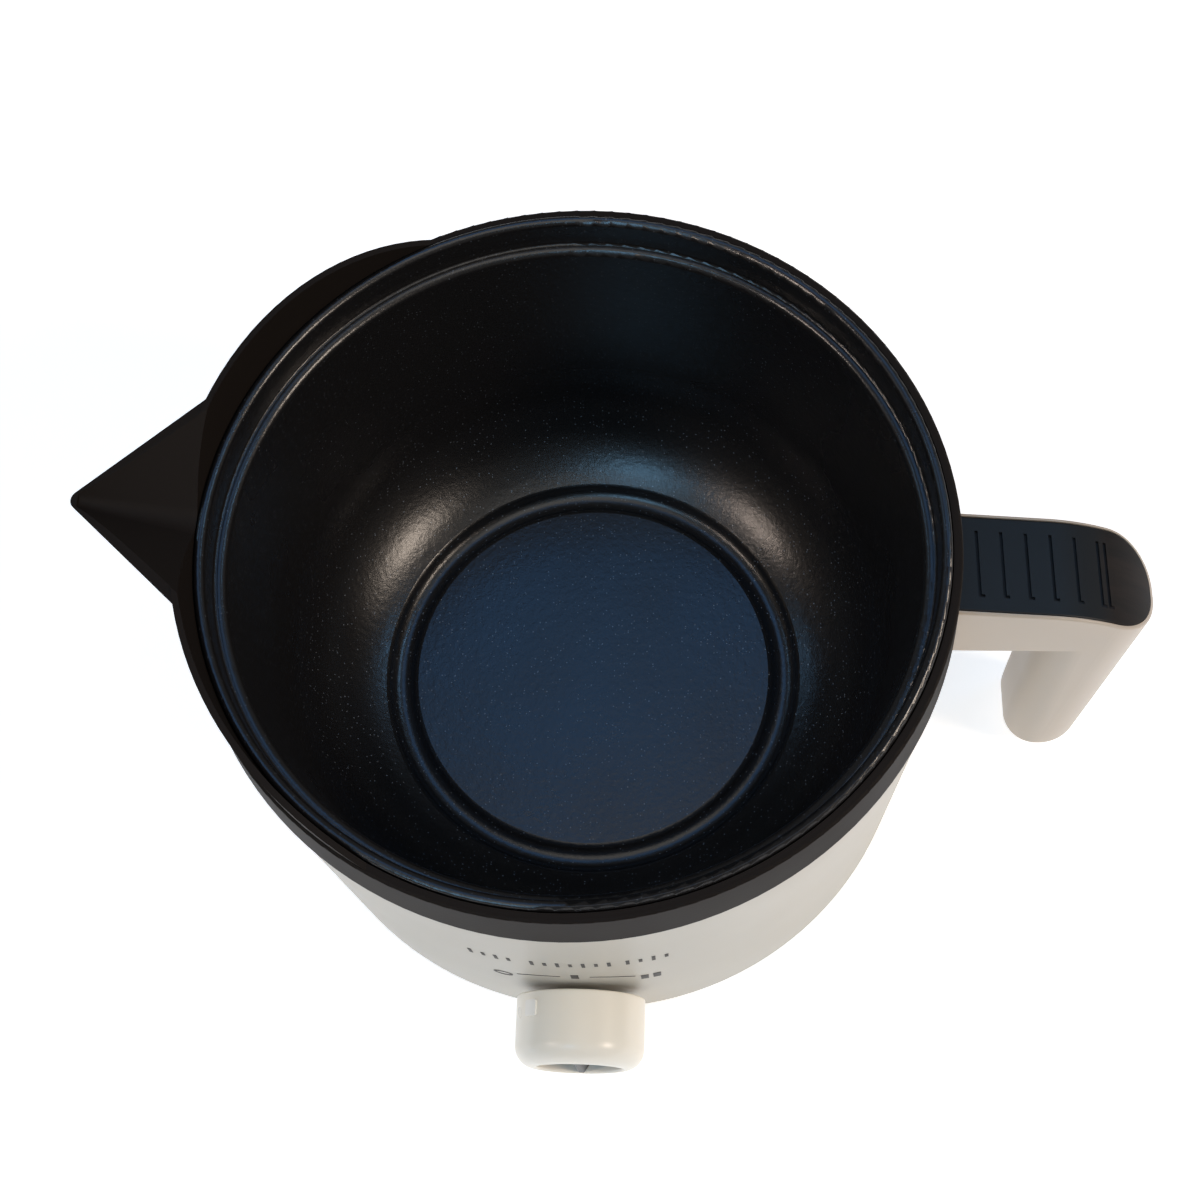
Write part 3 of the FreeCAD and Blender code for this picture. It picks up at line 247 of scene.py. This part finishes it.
def grip_skin():
    """Dark moulded inlay; its outer end is rougher and has a streaked brownish reflection painted
    into its colour.
    """
    s = Shade("grip_black", (0.0105, 0.0125, 0.0145), 0.44, Specular_IOR_Level=0.26)
    where = s.node("ShaderNodeSeparateXYZ")
    s.link(s.place, where.inputs["Vector"])
    # Painted reflection: towards the outer end the colour blends to streaked brownish tones that
    # stand in for a reflection; the same mask also makes that end rougher.
    end_roughness_and_reflection = s.spread(where.outputs["X"], GRIP_PATCH_START, GRIP_PATCH_FULL, 0.0, 1.0)
    reflection_streaks = s.noise(90.0, 3.0, 0.6, (0.35, 2.6, 0.35))
    painted_reflection = s.mix(s.spread(reflection_streaks, 0.35, 0.65, 0, 1), (0.004, 0.003, 0.0028),
                  (0.016, 0.010, 0.008))
    broad = s.noise(18.0, 3.0)
    dark = s.mix(s.spread(broad, 0.3, 0.7, 0, 1), (0.0098, 0.0118, 0.0138),
                 (0.0112, 0.0132, 0.0155))
    s.set("Base Color", s.mix(end_roughness_and_reflection, dark, painted_reflection))
    s.set("Roughness", s.spread(end_roughness_and_reflection, 0.0, 1.0, 0.44, 0.58))
    s.bump(s.noise(1400.0, 2.0, 0.6), 0.00003, 0.6)
    s.bump(s.noise(60.0, 2.0), 0.00006, 0.3)
    return s.mat


def metal(name, colour, roughness, stretch=(1, 1, 1), scratches=700.0):
    """Metal with brushed or rolled lines and patchy gloss."""
    s = Shade(name, colour, roughness, Metallic=1.0)
    lines = s.noise(scratches, 3.0, 0.6, stretch)
    broad = s.noise(35.0, 3.0)
    s.set("Base Color", s.mix(s.spread(broad, 0.3, 0.7, 0, 1), tint(colour, 0.86), colour))
    s.set("Roughness", s.spread(lines, 0.3, 0.7, roughness - 0.08, roughness + 0.12))
    s.bump(lines, 0.00002, 0.5)
    return s.mat


def rubber(name, colour, roughness=0.75):
    s = Shade(name, colour, roughness, Specular_IOR_Level=0.35)
    broad = s.noise(40.0, 3.0)
    s.set("Base Color", s.mix(s.spread(broad, 0.35, 0.65, 0, 1), tint(colour, 0.8), colour))
    s.set("Roughness", s.spread(broad, 0.3, 0.7, roughness - 0.06, roughness + 0.08))
    s.bump(s.noise(1800.0, 2.0), 0.00003, 0.5)
    return s.mat


def make_materials():
    return {
        "pot_coating": pot_coating(),
        "collar_black": moulded("collar_black", (0.0155, 0.012, 0.010), 0.56, 1300.0, 0.00003,
                                Specular_IOR_Level=0.07),
        # Painted shade: the housing and handle colours are set well below a white plastic's,
        # darkened so the whole part reads as shaded.
        "housing_white": moulded("housing_white", (0.46, 0.43, 0.365), 0.38, 1600.0, 0.00001,
                                 0.012),
        "handle_white": moulded("handle_white", (0.51, 0.43, 0.345), 0.36, 1600.0, 0.00001, 0.012),
        "knob_white": moulded("knob_white", (0.90, 0.86, 0.76), 0.30, 1800.0, 0.000008, 0.01),
        "marker_white": moulded("marker_white", (0.96, 0.94, 0.88), 0.26, 1800.0, 0.000008, 0.01),
        "grip_black": grip_skin(),
        "base_black": moulded("base_black", (0.016, 0.016, 0.017), 0.55, 1000.0, 0.00005),
        "switch_black": moulded("switch_black", (0.02, 0.02, 0.022), 0.5),
        "terminal_plastic": moulded("terminal_plastic", (0.66, 0.64, 0.58), 0.45),
        "print_black": rubber("print_black", (0.055, 0.05, 0.046), 0.6),
        "seal": rubber("seal", (0.42, 0.40, 0.37)),
        "feet": rubber("feet", (0.022, 0.022, 0.022)),
        "sleeve": rubber("sleeve", (0.72, 0.68, 0.58)),
        "steel": metal("steel", (0.60, 0.60, 0.62), 0.34),
        "element_steel": metal("element_steel", (0.20, 0.18, 0.17), 0.5, (1, 1, 1), 300.0),
        "shield_steel": metal("shield_steel", (0.66, 0.66, 0.67), 0.3, (1, 14, 1), 200.0),
        "plate_alu": metal("plate_alu", (0.76, 0.76, 0.78), 0.36, (14, 1, 1), 200.0),
        "brass_tab": metal("brass_tab", (0.72, 0.55, 0.25), 0.36),
        "lead_brown": rubber("lead_brown", (0.16, 0.07, 0.03), 0.5),
        "lead_red": rubber("lead_red", (0.50, 0.03, 0.02), 0.5),
        "lead_blue": rubber("lead_blue", (0.03, 0.09, 0.42), 0.5),
        "lead_green": rubber("lead_green", (0.10, 0.36, 0.05), 0.5),
    }


def paint_nodes(materials):
    for part in frame["record"]["subparts"]:
        obj = nodes[part["node"]]
        for slot in obj.material_slots:
            slot.material = materials[part["material_slot"]]


def main():
    bpy.context.scene.view_settings.view_transform = "Standard"
    add_camera()
    add_world()
    add_floor()
    soft_light("sky", -114, 53, 1.3, (0.38, 0.32), 2.7, (0.30, 0.65, 1.0))
    soft_light("top", -70, 80, 1.5, (0.9, 0.9), 2.8, (1.0, 0.94, 0.86))
    soft_light("back", 100, 70, 1.4, (0.6, 0.5), 1.2, (0.10, 0.42, 1.0))
    soft_light("left", -158, 39, 1.3, (0.2, 0.2), 3.0, (1.0, 0.82, 0.70))
    soft_light("right", -17, 35, 1.3, (0.34, 0.28), 6.8, (1.0, 0.84, 0.70))
    soft_light("cool_right", 30, 53, 1.4, (0.24, 0.24), 1.3, (0.25, 0.58, 1.0))
    soft_light("cool_left", 156, 41, 1.4, (0.24, 0.24), 0.7, (0.25, 0.58, 1.0))
    paint_nodes(make_materials())


main()
